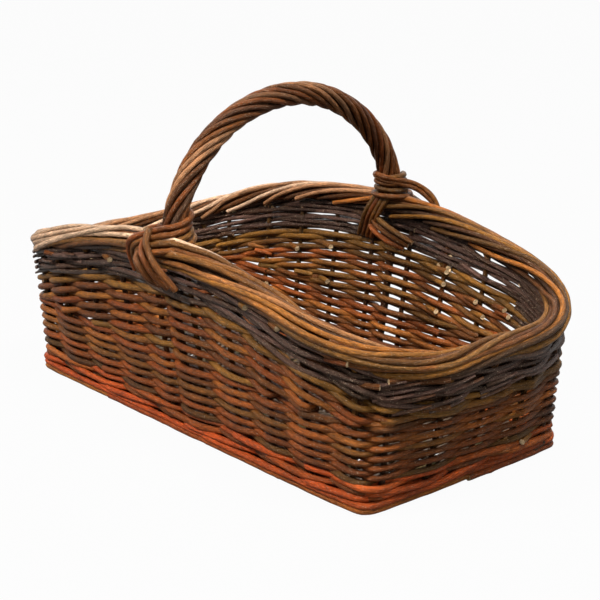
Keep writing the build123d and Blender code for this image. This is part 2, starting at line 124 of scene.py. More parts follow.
def stakeShares():
    # shares of the lap at which the thirty stakes stand: one in the middle of an end and two beside it on
    # each side, and five on half a long side
    cornerGap = 28 * mm  # round a corner, between the two stakes beside it
    sideSteps = 4.5  # from the handle to the last stake of the side
    inset = (math.pi / 2 * baseLine[2] - cornerGap) / 2
    endReach = baseLine[1] - baseLine[2] + inset
    sideReach = baseLine[0] - baseLine[2] + inset
    frontStep = (sideReach - size["handlePlace"]) / sideSteps
    backStep = (sideReach + size["handlePlace"]) / sideSteps
    ends = [endReach / 2 * i for i in range(3)]
    front = ends + [baseQuarter - size["handlePlace"] - frontStep * (sideSteps - i) for i in range(5)]
    back = ends + [baseQuarter + size["handlePlace"] - backStep * (sideSteps - i) for i in range(5)]
    lap = list(front)
    lap += [2 * baseQuarter - d for d in reversed(back)]
    lap += [2 * baseQuarter + d for d in back[1:]]
    lap += [4 * baseQuarter - d for d in reversed(front[1:])]
    return [d / baseLap for d in lap]


stakes = stakeShares()
stakeCount = len(stakes)
farLeg = (baseQuarter - size["handlePlace"]) / baseLap
nearLeg = 1 - farLeg


def shareAt(place):
    # place counts stakes and parts of the way to the next
    lap, whole = divmod(math.floor(place), stakeCount)
    after = stakes[(whole + 1) % stakeCount] + (1 if whole == stakeCount - 1 else 0)
    return lap + stakes[whole] + (after - stakes[whole]) * (place - math.floor(place))


def wallSpot(share, height, reach=0.0):
    # point on the wall's middle at a height, moved outwards by reach
    low, lowOut = onLap(baseLine, baseQuarter, share)
    high, highOut = onLap(rimLine, rimQuarter, share)
    head = rimHeight(high.x) - size["roll"]
    up = height / head
    spot = low.lerp(high, up)
    out = lowOut.lerp(highOut, up)
    out.normalize()
    return Vector((spot.x, spot.y, 0)) + out * reach + Vector((0, 0, height))


def rimSpot(share, turn, reach):
    # point round the border's middle: no turn is outside, a quarter turn is on top
    nudge = 0.0005  # of a lap, to see which way the rim runs
    here, out = onLap(rimLine, rimQuarter, share)
    ahead, _ = onLap(rimLine, rimQuarter, share + nudge)
    here.z = rimHeight(here.x)
    ahead.z = rimHeight(ahead.x)
    up = out.cross(ahead - here).normalized()
    return here + out * (reach * math.cos(turn)) + up * (reach * math.sin(turn))


# willow bark

bark = {
    "red": (0.370, 0.056, 0.010),
    "rust": (0.185, 0.042, 0.008),
    "orange": (0.300, 0.095, 0.016),
    "brown": (0.108, 0.034, 0.008),
    "olive": (0.098, 0.043, 0.008),
    "gold": (0.185, 0.078, 0.013),
    "dark": (0.038, 0.016, 0.008),
    "purple": (0.034, 0.016, 0.012),
    "plum": (0.100, 0.050, 0.038),
    "tan": (0.300, 0.140, 0.062),
    "grey": (0.500, 0.325, 0.205),
    "cut": (0.680, 0.480, 0.270),
    # fleck: pale specks on the bark, partly dust and partly painted glints
    "fleck": (0.520, 0.380, 0.250),
    "weaverDark": (0.035, 0.021, 0.012),
    "weaverPale": (0.095, 0.062, 0.036),
    "weaver": (0.085, 0.055, 0.032),
}


def mixed(names):
    # one rod's own colour: up to half of a second kind mixed into the first, then a shade lighter or darker
    mostOfSecond = 0.5
    spread = 0.30
    a = bark[random.choice(names)]
    b = bark[random.choice(names)]
    t = random.random() * mostOfSecond
    k = 1 + random.uniform(-spread, spread)
    return tuple(min(1.0, (p + (q - p) * t) * k) for p, q in zip(a, b))


def newMaterial(name):
    material = bpy.data.materials.new(name)
    material.use_nodes = True
    return material, material.node_tree.nodes, material.node_tree.links


def stretched(nodes, scale):
    # a mapping that draws a pattern out along one way
    node = nodes.new("ShaderNodeMapping")
    node.inputs["Scale"].default_value = scale
    return node


def noise(nodes, scale, detail, roughness=0.5):
    node = nodes.new("ShaderNodeTexNoise")
    node.inputs["Scale"].default_value = scale
    node.inputs["Detail"].default_value = detail
    node.inputs["Roughness"].default_value = roughness
    return node


def toned(nodes, span, tones):
    # reads the part of a pattern inside the span as the two tones and what is between them
    node = nodes.new("ShaderNodeMapRange")
    node.inputs["From Min"].default_value = span[0]
    node.inputs["From Max"].default_value = span[1]
    node.inputs["To Min"].default_value = tones[0]
    node.inputs["To Max"].default_value = tones[1]
    return node


def joined(nodes, links, operation, a, b):
    # a math node fed by two others
    node = nodes.new("ShaderNodeMath")
    node.operation = operation
    links.new(a, node.inputs[0])
    links.new(b, node.inputs[1])
    return node.outputs["Value"]


def raised(nodes, links, height, shader, strength, distance):
    # bumps of a pattern on the surface
    node = nodes.new("ShaderNodeBump")
    node.inputs["Strength"].default_value = strength
    node.inputs["Distance"].default_value = distance
    links.new(height, node.inputs["Height"])
    links.new(node.outputs["Normal"], shader.inputs["Normal"])


barkLook = {
    "grainWay": (5.0, 32.0, 1.0), "grain": 2.2, "grainAndSheenSpan": (0.36, 0.64),
    "wrinkleWay": (14.0, 75.0, 1.0), "wrinkle": 2.6, "wrinkleSpan": (0.36, 0.62),
    "wrinkleTones": (0.50, 1.40),
    "patch": 42.0, "patchSpan": (0.30, 0.70), "patchTones": (0.72, 1.30),
    "dustAndGlint": 900.0, "dustAndGlintSpan": (0.63, 0.72), "dustAndGlintTones": (0.0, 0.6),
    "shineTint": (1.0, 0.78, 0.58, 1), "bump": 0.6, "bumpHeight": 0.6 * mm,
}


def willow(name, gloss, streak, shine=0.20):
    # satin bark: grain and wrinkles run along the rod, with patches and fine pale flecks, which are partly
    # dust and partly painted glints, and the rod's own colour comes from its attribute
    material, nodes, links = newMaterial(name)
    shader = nodes["Principled BSDF"]
    rodColour = nodes.new("ShaderNodeVertexColor")
    rodColour.layer_name = "bark"
    uv = nodes.new("ShaderNodeUVMap")
    uv.uv_map = "along"
    where = nodes.new("ShaderNodeTexCoord")

    grainWay = stretched(nodes, barkLook["grainWay"])
    grain = noise(nodes, barkLook["grain"], 5, 0.65)
    # the grain's light and dark streaks along the rod are partly the bark's own grain and partly painted
    # highlight lines
    grainAndSheenTone = toned(nodes, barkLook["grainAndSheenSpan"], (1 - streak, 1 + streak))
    links.new(uv.outputs["UV"], grainWay.inputs["Vector"])
    links.new(grainWay.outputs["Vector"], grain.inputs["Vector"])
    links.new(grain.outputs["Fac"], grainAndSheenTone.inputs["Value"])

    patch = noise(nodes, barkLook["patch"], 3)
    patchTone = toned(nodes, barkLook["patchSpan"], barkLook["patchTones"])
    links.new(where.outputs["Object"], patch.inputs["Vector"])
    links.new(patch.outputs["Fac"], patchTone.inputs["Value"])

    wrinkleWay = stretched(nodes, barkLook["wrinkleWay"])
    wrinkle = noise(nodes, barkLook["wrinkle"], 3)
    wrinkleTone = toned(nodes, barkLook["wrinkleSpan"], barkLook["wrinkleTones"])
    links.new(uv.outputs["UV"], wrinkleWay.inputs["Vector"])
    links.new(wrinkleWay.outputs["Vector"], wrinkle.inputs["Vector"])
    links.new(wrinkle.outputs["Fac"], wrinkleTone.inputs["Value"])

    streaked = joined(nodes, links, "MULTIPLY", grainAndSheenTone.outputs["Result"], patchTone.outputs["Result"])
    wrinkled = joined(nodes, links, "MULTIPLY", streaked, wrinkleTone.outputs["Result"])
    tint = nodes.new("ShaderNodeVectorMath")
    tint.operation = "SCALE"
    links.new(rodColour.outputs["Color"], tint.inputs[0])
    links.new(wrinkled, tint.inputs["Scale"])

    # pale flecks: partly dust and partly painted glints on the bark
    dustAndGlint = noise(nodes, barkLook["dustAndGlint"], 2)
    dustAndGlintTone = toned(nodes, barkLook["dustAndGlintSpan"], barkLook["dustAndGlintTones"])
    fleck = nodes.new("ShaderNodeMix")
    fleck.data_type = "RGBA"
    fleck.inputs[7].default_value = (*bark["fleck"], 1)
    links.new(where.outputs["Object"], dustAndGlint.inputs["Vector"])
    links.new(dustAndGlint.outputs["Fac"], dustAndGlintTone.inputs["Value"])
    links.new(dustAndGlintTone.outputs["Result"], fleck.inputs["Factor"])
    links.new(tint.outputs["Vector"], fleck.inputs[6])
    links.new(fleck.outputs[2], shader.inputs["Base Color"])

    rough = toned(nodes, (0.0, 1.0), (gloss - 0.08, gloss + 0.14))
    links.new(grain.outputs["Fac"], rough.inputs["Value"])
    links.new(rough.outputs["Result"], shader.inputs["Roughness"])
    shader.inputs["Specular IOR Level"].default_value = shine
    shader.inputs["Specular Tint"].default_value = barkLook["shineTint"]
    raised(nodes, links, wrinkled, shader, barkLook["bump"], barkLook["bumpHeight"])
    return material


# streak is how far the grain lightens and darkens a bark; the larger values, 0.48 to 0.50, are partly painted
# highlight
barkMaterials = {
    "base_weaver_willow": willow("baseWeaverBark", 0.66, 0.34),
    "red_willow": willow("redBark", 0.34, 0.36),
    "siding_willow": willow("sidingBark", 0.30, 0.42),
    "packing_willow": willow("packingBark", 0.30, 0.42),
    "purple_willow": willow("purpleBark", 0.20, 0.50, 0.34),
    "border_willow": willow("borderBark", 0.28, 0.50),
    "handle_willow": willow("handleBark", 0.28, 0.48),
    "binding_willow": willow("bindingBark", 0.30, 0.42),
}
print("bark: ready")


# one rod

def smoothLine(points, step):
    # the rod's middle line: a curve through its places, read at even steps
    line = []
    last = len(points) - 1
    for i in range(last):
        p0 = points[max(i - 1, 0)]
        p1 = points[i]
        p2 = points[i + 1]
        p3 = points[min(i + 2, last)]
        count = max(1, round((p2 - p1).length / step))
        for k in range(count):
            t = k / count
            line.append(0.5 * ((2 * p1) + (p2 - p0) * t + (2 * p0 - 5 * p1 + 4 * p2 - p3) * t * t
                               + (3 * p1 - p0 - 3 * p2 + p3) * t * t * t))
    line.append(points[-1].copy())
    return line


# a rod's own shape: two waves of its thickness, a bud every 34 mm, and thinner past slimStart where asked
rodShape = {"wave": 0.045, "waveWay": 95, "ripple": 0.03, "rippleWay": 230, "rippleShift": 2.3,
            "budEvery": 0.034, "budHalf": 0.0045, "budSwell": 0.16, "budTurn": 2.4, "budFirst": 0.028,
            "slimStart": 0.222, "slimRun": 0.030, "endShade": 0.6, "smoothAngle": 50}
fineStep = 3 * mm
wideStep = 6 * mm


class Bundle:
    # rods that make up one piece of the basket, gathered as one mesh

    def __init__(self):
        self.places = []
        self.faces = []
        self.uvs = []
        self.colours = []

    def rod(self, points, diameter, colour, tip=None, sides=8, step=4 * mm, cutStart=False, cutEnd=False,
            tipColour=None, frontSlim=0.0):
        # a tapered rod through the points: diameter at its start and tip at its end
        tip = diameter if tip is None else tip
        line = smoothLine([Vector(p) for p in points], step)
        count = len(line)
        start = len(self.places)
        wobble = random.uniform(0, 6.28)
        along = random.uniform(0, 5)
        first = (line[1] - line[0]).normalized()
        side = first.cross(Vector((0, 0, 1)))
        if side.length < 0.1:
            side = first.cross(Vector((1, 0, 0)))
        side.normalize()
        bud = random.uniform(0, rodShape["budFirst"])
        length = 0.0
        lengths = []
        for i, here in enumerate(line):
            way = (line[min(i + 1, count - 1)] - line[max(i - 1, 0)]).normalized()
            side = (side - way * side.dot(way)).normalized()
            lift = way.cross(side)
            if i:
                length += (here - line[i - 1]).length
            lengths.append(length)
            radius = 0.5 * (diameter + (tip - diameter) * (i / (count - 1)))
            pastStart = (here.x - rodShape["slimStart"]) / rodShape["slimRun"]
            radius *= 1 - frontSlim * min(1.0, max(0.0, pastStart))
            wave = rodShape["wave"] * math.sin(wobble + length * rodShape["waveWay"])
            ripple = math.sin(rodShape["rippleShift"] * wobble + length * rodShape["rippleWay"])
            radius *= 1 + wave + rodShape["ripple"] * ripple
            swell = 0.0
            away = (length - bud) % rodShape["budEvery"]
            if away < rodShape["budHalf"]:
                swell = rodShape["budSwell"] * (1 - away / rodShape["budHalf"])
            budTurn = wobble + rodShape["budTurn"] * math.floor((length - bud) / rodShape["budEvery"])
            for k in range(sides):
                turn = 2 * math.pi * k / sides
                grow = 1 + swell * max(0.0, math.cos(turn - budTurn)) ** 2
                spot = here + (side * math.cos(turn) + lift * math.sin(turn)) * (radius * grow)
                self.places.append(spot[:])
        for i in range(count - 1):
            length0 = lengths[i]
            length1 = lengths[i + 1]
            tone = colour
            if tipColour is not None:
                t = i / (count - 1)
                tone = tuple(a + (b - a) * t for a, b in zip(colour, tipColour))
            for k in range(sides):
                a = start + i * sides + k
                b = start + i * sides + (k + 1) % sides
                self.faces.append((a, b, b + sides, a + sides))
                u0 = k / sides
                u1 = (k + 1) / sides
                self.uvs += [(u0 + along, length0 + along), (u1 + along, length0 + along),
                             (u1 + along, length1 + along), (u0 + along, length1 + along)]
                self.colours += [tone] * 4
        for at, cut, flip in ((0, cutStart, True), (count - 1, cutEnd, False)):
            ring = [start + at * sides + k for k in range(sides)]
            if flip:
                ring.reverse()
            self.faces.append(tuple(ring))
            tone = bark["cut"] if cut else tuple(rodShape["endShade"] * c for c in colour)
            self.uvs += [(along + 0.02 * k, along) for k in range(sides)]
            self.colours += [tone] * sides

    def piece(self, name, slot, *nodes):
        # makes the bundle one object that stands for its CAD nodes
        mesh = bpy.data.meshes.new(name)
        mesh.from_pydata(self.places, [], self.faces)
        layer = mesh.uv_layers.new(name="along")
        layer.data.foreach_set("uv", [c for uv in self.uvs for c in uv])
        paint = mesh.color_attributes.new("bark", "FLOAT_COLOR", "CORNER")
        paint.data.foreach_set("color", [c for tone in self.colours for c in (*tone, 1.0)])
        mesh.materials.append(barkMaterials[slot])
        thing = bpy.data.objects.new(name, mesh)
        bpy.context.scene.collection.objects.link(thing)
        bpy.ops.object.select_all(action="DESELECT")
        thing.select_set(True)
        bpy.context.view_layer.objects.active = thing
        bpy.ops.object.shade_smooth_by_angle(angle=math.radians(rodShape["smoothAngle"]))
        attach(thing, "root")
        if nodes:
            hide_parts(*nodes)
        print(name, len(mesh.polygons), "faces")


# the wall

upright = {"stake": 5.2 * mm, "leg": 9.4 * mm, "legHold": 0.36, "gap": 0.3 * mm}
firstCorner = (baseLine[1] - baseLine[2] + math.pi / 4 * baseLine[2]) / baseLap
cornerShares = [firstCorner, 0.5 - firstCorner, 0.5 + firstCorner, 1 - firstCorner]

# the handle's legs stand between two stakes: the stake before, share of the lap, and number in the weave
legStops = ((7, farLeg, 7), (22, nearLeg, 23))


def wallStops(first, last):
    # every upright between two places: its share of the lap, half thickness and number
    stops = []
    for n in range(math.ceil(first), math.floor(last) + 1):
        stops.append((shareAt(n), upright["stake"] / 2, n % stakeCount))
        for stake, leg, number in legStops:
            if n % stakeCount == stake:
                stops.append((n // stakeCount + leg, upright["leg"] * upright["legHold"], number))
    return stops


# how rods lie on the wall: they settle from stake to stake, are held closer and lie less evenly round the
# front, stand nearer the wall's middle on the far side, and have their ends tucked in behind an upright
lay = {"leanHeight": 60 * mm, "jitter": 0.35, "settle": 0.6, "bulge": 0.25, "floorGap": 0.6 * mm,
       "snug": 0.86,
       "frontPart": 0.17, "frontHold": 0.08, "frontLift": 1.8 * mm, "frontSlant": 1.5,
       "farPart": (0.05, 0.5), "farSnug": 0.52,
       "startTuck": 0.0048, "startDrop": 0.3 * mm, "startIn": 1.02, "endTuck": 0.0045, "endIn": 0.9}


def weave(bundle, first, last, height, inside, diameter, tip, colour, tipColour, slant=0.0, tuck=True,
          pale=True, frontSlim=0.0):
    # one rod along the wall, in and out of the uprights by their numbers
    points = []
    before = None
    drift = random.uniform(-1, 1) * lay["jitter"] * mm
    stops = wallStops(first, last)
    total = max(len(stops) - 1, 1)
    for i, (share, half, number) in enumerate(stops):
        d = diameter + (tip - diameter) * i / total
        side = -1 if inside(number) else 1
        part = share % 1.0
        ahead = max(0.0, 1 - min(part, 1 - part) / lay["frontPart"])
        onFar = lay["farPart"][0] <= part <= lay["farPart"][1]
        hold = lay["farSnug"] if onFar else lay["snug"] * (1 - lay["frontHold"] * ahead)
        reach = side * (half + upright["gap"] + d / 2) * hold
        x = wallSpot(share, lay["leanHeight"], reach).x
        drift = lay["settle"] * drift + random.uniform(-1, 1) * lay["jitter"] * mm * lay["settle"]
        if slant:
            drift = slant * (1 + lay["frontSlant"] * ahead) * (0.5 - (number % 3) / 2)
        else:
            drift += lay["frontLift"] * ahead * side
        z = max(height(x) + drift, d / 2 + lay["floorGap"])
        if i == 0 and tuck:
            start = share - lay["startTuck"]
            points.append(wallSpot(start, z - lay["startDrop"], -abs(reach) * lay["startIn"]))
        if before is not None:
            for corner in cornerShares:
                at = math.floor(before[0]) + corner
                at += 1 if at < before[0] else 0
                if before[0] < at < share:
                    points.append(wallSpot(at, 0.5 * (z + before[1]), 0.5 * (reach + before[2])))
        before = (share, z, reach)
        points.append(wallSpot(share, z, reach + random.uniform(0, lay["bulge"]) * mm * side))
    if tuck:
        points.append(wallSpot(before[0] + lay["endTuck"], z, -abs(reach) * lay["endIn"]))
    bundle.rod(points, diameter, colour, tip, tipColour=tipColour, cutStart=pale, cutEnd=pale,
               frontSlim=frontSlim)


def inAt(row, every, turned=False):
    # a rod that goes in at every second or third upright, or out there when it is turned
    return lambda number: ((number + row) % every == 0) != turned


def always(inwards):
    return lambda number: inwards


def level(node, diameter, follows=False):
    # height of a course: its node's own, or along the rim's arch from the ends
    low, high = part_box(node)
    if not follows:
        middle = 0.5 * (low.z + high.z)
        return lambda x: middle
    end = low.z + diameter / 2
    return lambda x: end + arch(x)


def higher(height, lift):
    return lambda x: height(x) + lift


def nodesOf(name, count, digits=1):
    # names of the CAD nodes that are numbered from one
    return [name + str(k + 1).zfill(digits) for k in range(count)]


siding = {
    "rows": 14, "lowRows": 4, "levelRows": 12, "solidRod": 4.1 * mm,
    "thick": 6.6 * mm, "thin": 5.6 * mm, "frontSlim": 0.17, "early": 0.05, "late": 0.95,
    "low": ["brown", "olive", "brown", "dark", "gold", "rust", "rust"],
    "middle": ["brown", "olive", "rust", "rust", "brown", "orange"],
    "lines": ["olive", "gold", "gold"],
}
sidingRods = Bundle()
sidingNodes = nodesOf("siding_course_", siding["rows"], 2)
for row, node in enumerate(sidingNodes):
    arched = row >= siding["levelRows"]
    kinds = siding["low"] if row < siding["lowRows"] else siding["lines"] if arched else siding["middle"]
    height = level(node, siding["solidRod"], arched)
    cuts = sorted(((5 * row + 15 * k) % stakeCount) + random.choice((0, 1)) for k in range(2))
    cuts.append(cuts[0] + stakeCount)
    for k in range(2):
        weave(sidingRods, cuts[k] - siding["early"], cuts[k + 1] + siding["late"], height, inAt(row, 2),
              siding["thick"], siding["thin"], mixed(kinds), mixed(kinds), frontSlim=siding["frontSlim"])
sidingRods.piece("siding", "siding_willow", *sidingNodes)

# cut rod ends that stand proud: share of the lap, height in mm, outside (1) or inside (-1), and the way
# along the wall. Each is laid from inside the wall outwards: back along the lap, and mm up and out.
proud = {"rod": 5.2 * mm, "kinds": ["brown", "gold", "rust"],
         "route": [(0.014, -1, 1), (0.005, 0, 6.5), (0, 0, 9)]}
cutEnds = [
    (0.700, 157, 1, 1), (0.836, 158, 1, 1), (0.908, 134, 1, 1), (0.928, 121, 1, -1), (0.924, 116, 1, 1),
    (0.960, 117, 1, 1), (0.964, 90, 1, 1), (0.008, 85, 1, 1), (0.028, 22, 1, 1), (0.040, 25, 1, -1),
    (0.624, 141, 1, -1), (0.864, 150, 1, 1), (0.184, 133, -1, -1), (0.185, 121, -1, -1),
    (0.156, 113, -1, -1), (0.188, 93, -1, -1), (0.148, 101, -1, -1), (0.132, 113, -1, -1),
    (0.128, 108, -1, -1), (0.388, 101, -1, 1), (0.380, 97, -1, 1), (0.332, 113, -1, -1),
    (0.296, 125, -1, -1), (0.296, 89, -1, -1), (0.332, 89, -1, 1),
]
endRods = Bundle()
for share, high, side, way in cutEnds:
    points = [wallSpot(share - back * way, (high + up) * mm, side * out * mm)
              for back, up, out in proud["route"]]
    endRods.rod(points, proud["rod"], mixed(proud["kinds"]), step=fineStep, cutEnd=True)
endRods.piece("cutEnds", "siding_willow")

# each packing rod follows the arch, one pitch lower than the last, and stays over the level siding
packing = {
    "rods": 10, "pitch": 5.2 * mm, "thick": 6.5 * mm, "thin": 5.6 * mm, "under": 2.05 * mm, "over": 4.35 * mm,
    "spans": (("far", (1, 14), 15 * mm), ("near", (17, 28), 11 * mm)),
    "near": ["rust", "orange", "rust", "brown", "gold"], "far": ["brown", "rust", "olive", "brown", "gold"],
}
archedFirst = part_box("siding_course_13")[0].z + packing["under"]
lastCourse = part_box("siding_course_12")
packingFloor = 0.5 * (lastCourse[0].z + lastCourse[1].z) + packing["over"]


def packedAt(drop):
    return lambda x: max(archedFirst + arch(x) - drop, packingFloor)


for side, (firstStake, lastStake), squeeze in packing["spans"]:
    packed = Bundle()
    kinds = packing[side]
    for row in range(packing["rods"]):
        drop = (row + 1) * packing["pitch"]
        held = []
        for n in range(firstStake, lastStake + 1):
            x = onLap(rimLine, rimQuarter, shareAt(n))[0].x
            if archedFirst + arch(x) - drop >= packingFloor - squeeze:
                held.append(n)
        if len(held) < 2:
            continue
        weave(packed, held[0], held[-1], packedAt(drop), inAt(row, 2, True), packing["thick"],
              packing["thin"], mixed(kinds), mixed(kinds), pale=False)
    packed.piece(side + "Packing", "packing_willow", side + "_packing_rods")

# a wale is laid with three pairs of rods a row, each pair over a third of the lap and a little more
wales = {"solidRod": 5 * mm, "third": 10, "run": 10.6}
upsett = {"rows": 5, "straightRows": 2, "thick": 6.6 * mm, "thin": 5.4 * mm, "tip": 0.9, "slant": 2.4 * mm,
          "behind": 2, "lift": 1.6 * mm, "kinds": ["red", "red", "orange", "rust"],
          "behindKinds": ["rust", "red", "brown"], "tipKinds": ["rust", "brown"]}
upsettRods = Bundle()
upsettNodes = nodesOf("upsett_wale_", upsett["rows"])
for row, node in enumerate(upsettNodes):
    height = level(node, wales["solidRod"])
    straight = row < upsett["straightRows"]
    slant = 0.0 if straight else upsett["slant"]
    for k in range(3):
        start = 3 * row % 8 + wales["third"] * k
        weave(upsettRods, start, start + wales["run"], height, always(False) if straight else inAt(row, 3),
              upsett["thick"], upsett["thin"], mixed(upsett["kinds"]), mixed(upsett["kinds"]), slant=slant,
              tuck=not straight)
        start += upsett["behind"]
        weave(upsettRods, start, start + wales["run"], higher(height, upsett["lift"]),
              always(True) if straight else inAt(row, 3, True), upsett["thin"],
              upsett["thin"] * upsett["tip"], mixed(upsett["behindKinds"]), mixed(upsett["tipKinds"]))
upsettRods.piece("upsettWale", "red_willow", *upsettNodes)

upper = {"rows": 6, "solids": 5, "topLift": 4.6 * mm, "thick": 5.6 * mm, "thin": 4.4 * mm, "tip": 0.85,
         "slant": 3.4 * mm, "behindSlant": -0.5, "behind": 3, "lift": 2.2 * mm,
         "kinds": ["purple", "plum", "purple", "dark"]}
upperRods = Bundle()
upperNodes = nodesOf("upper_wale_", upper["solids"])
for row in range(upper["rows"]):
    base = level(upperNodes[min(row, upper["solids"] - 1)], wales["solidRod"], True)
    height = higher(base, upper["topLift"] if row == upper["solids"] else 0.0)
    for k in range(3):
        start = (4 * row + 2) % 10 + wales["third"] * k
        weave(upperRods, start, start + wales["run"], height, inAt(row, 3), upper["thick"], upper["thin"],
              mixed(upper["kinds"]), mixed(upper["kinds"]), slant=upper["slant"])
        start += upper["behind"]
        weave(upperRods, start, start + wales["run"], higher(height, upper["lift"]), inAt(row, 3, True),
              upper["thin"], upper["thin"] * upper["tip"], mixed(upper["kinds"]), mixed(upper["kinds"]),
              slant=upper["behindSlant"] * upper["slant"])

# rods that run inside the stakes round the front, behind the slanting ones
backing = {"first": 25.5, "last": 34.5, "rows": range(-3, 7), "pitch": 4.5, "drop": 6, "slant": 0.1 * mm,
           "kinds": ["dark", "brown"], "tipKinds": ["dark", "purple"]}
lowestWale = level(upperNodes[0], wales["solidRod"], True)
for k in backing["rows"]:
    weave(upperRods, backing["first"], backing["last"],
          higher(lowestWale, (backing["pitch"] * k - backing["drop"]) * mm), always(True), upper["thick"],
          upper["thin"], mixed(backing["kinds"]), mixed(backing["tipKinds"]), slant=backing["slant"])

# tips of the wale that stand out of it, most of them on the front end: along the lap, and mm up and out
tips = {"count": 26, "onFront": 17, "front": (-0.072, 0.030), "back": (0.55, 0.66), "leanHeight": 100 * mm,
        "thick": 4.6 * mm, "thin": 2.0 * mm, "kinds": ["purple", "plum", "dark"],
        "tipKinds": ["plum", "brown"], "route": [(-0.016, -4, 4), (-0.006, -1, 8), (0.004, 2, 9.5)]}
for k in range(tips["count"]):
    share = random.uniform(*tips["front" if k < tips["onFront"] else "back"])
    course = level(upperNodes[k % upper["solids"]], wales["solidRod"], True)
    high = course(wallSpot(share, tips["leanHeight"]).x)
    points = [wallSpot(share + along, high + up * mm, out * mm) for along, up, out in tips["route"]]
    upperRods.rod(points, tips["thick"], mixed(tips["kinds"]), tips["thin"],
                  tipColour=mixed(tips["tipKinds"]), step=fineStep)
upperRods.piece("upperWale", "purple_willow", *upperNodes)
print("wall: woven")

# stakes and border

border = {
    "roll": size["roll"], "thick": 6.1 * mm, "thin": 4.4 * mm, "uneven": (0.92, 1.10),
    "kinds": ["tan", "gold", "orange", "brown", "gold", "dark"],
    "weathered": ["grey", "grey", "grey", "tan"], "weatheredPart": (0.47, 0.66),
    # paler bark along the far side: painted light on the far border's face
    "far": ["tan", "tan", "tan", "grey"], "farPart": (0.12, 0.47),
    "turns": [(0, -90), (0.5, -62), (1.5, -38), (2.5, -12), (3.5, 16), (4.4, 45), (5.2, 76), (6.0, 106),
              (6.9, 150), (7.8, 205), (8.4, 250)],
    "firstTurn": -86, "firstAhead": 0.06, "firstReach": 0.98, "coloursFrom": 2.5, "routeFrom": 0.4,
    "sway": 0.26, "swayWay": 1.3, "sinks": (-1.8, -0.8, 0.0, 0.6),
    "lumps": 0.4, "stride": 0.5, "shortStride": 0.22,
}

# the roll parts and swells round the handle's legs, is slimmer at the back's near corner, and is tighter and
# further in at the front's far corner
rollShape = {"part": 29 * mm, "rimGrowth": 1.12, "swell": 5.4 * mm, "flatten": 0.36, "partLift": 2 * mm,
             "slimAt": 0.57, "slim": 0.16, "slimDrop": 3.2 * mm,
             "tightAt": 0.085, "tight": 0.13, "tightIn": 3 * mm, "tightLift": 1.5 * mm}


def turnAt(m):
    # turn of a tail about the border after m stakes: slow outside, quicker over the top and inside
    turns = border["turns"]
    for (m0, t0), (m1, t1) in zip(turns, turns[1:]):
        if m <= m1:
            return math.radians(t0 + (t1 - t0) * (m - m0) / (m1 - m0))
    return math.radians(turns[-1][1])


def parting(share):
    # 1 at a handle leg and 0 away from it
    best = 1.0
    for leg in (farLeg, nearLeg):
        away = abs((share - leg + 0.5) % 1.0 - 0.5) * baseLap * rollShape["rimGrowth"]
        best = min(best, away / rollShape["part"])
    part = max(0.0, 1 - best)
    return part * part * (3 - 2 * part)


def rollSpot(share, turn, reach):
    # like rimSpot, but with the roll's own shape
    part = parting(share)
    tilt = math.asin(math.sin(turn)) * (1 - rollShape["flatten"] * part)
    turned = tilt if math.cos(turn) >= 0 else math.pi - tilt
    slim = max(0.0, math.cos(2 * math.pi * (share - rollShape["slimAt"]))) ** 3
    tight = max(0.0, math.cos(2 * math.pi * (share - rollShape["tightAt"]))) ** 6
    reach *= 1 - rollShape["slim"] * slim - rollShape["tight"] * tight
    spot = rimSpot(share, turned, reach + rollShape["swell"] * part)
    spot -= onLap(rimLine, rimQuarter, share)[1] * (rollShape["tightIn"] * tight)
    spot.z += rollShape["partLift"] * part - rollShape["slimDrop"] * slim + rollShape["tightLift"] * tight
    return spot


def strideAt(share):
    # stakes to the next place of a tail's route: shorter where the roll parts round a leg
    return border["shortStride"] if parting(share) > 0.01 else border["stride"]


def kindsAt(share):
    # bark kinds round the rim: weathered at the back's near corner, and paler along the far side, which is
    # painted light
    part = share % 1.0
    if border["weatheredPart"][0] < part < border["weatheredPart"][1]:
        return border["weathered"]
    if border["farPart"][0] < part <= border["farPart"][1]:
        return border["far"]
    return border["kinds"]


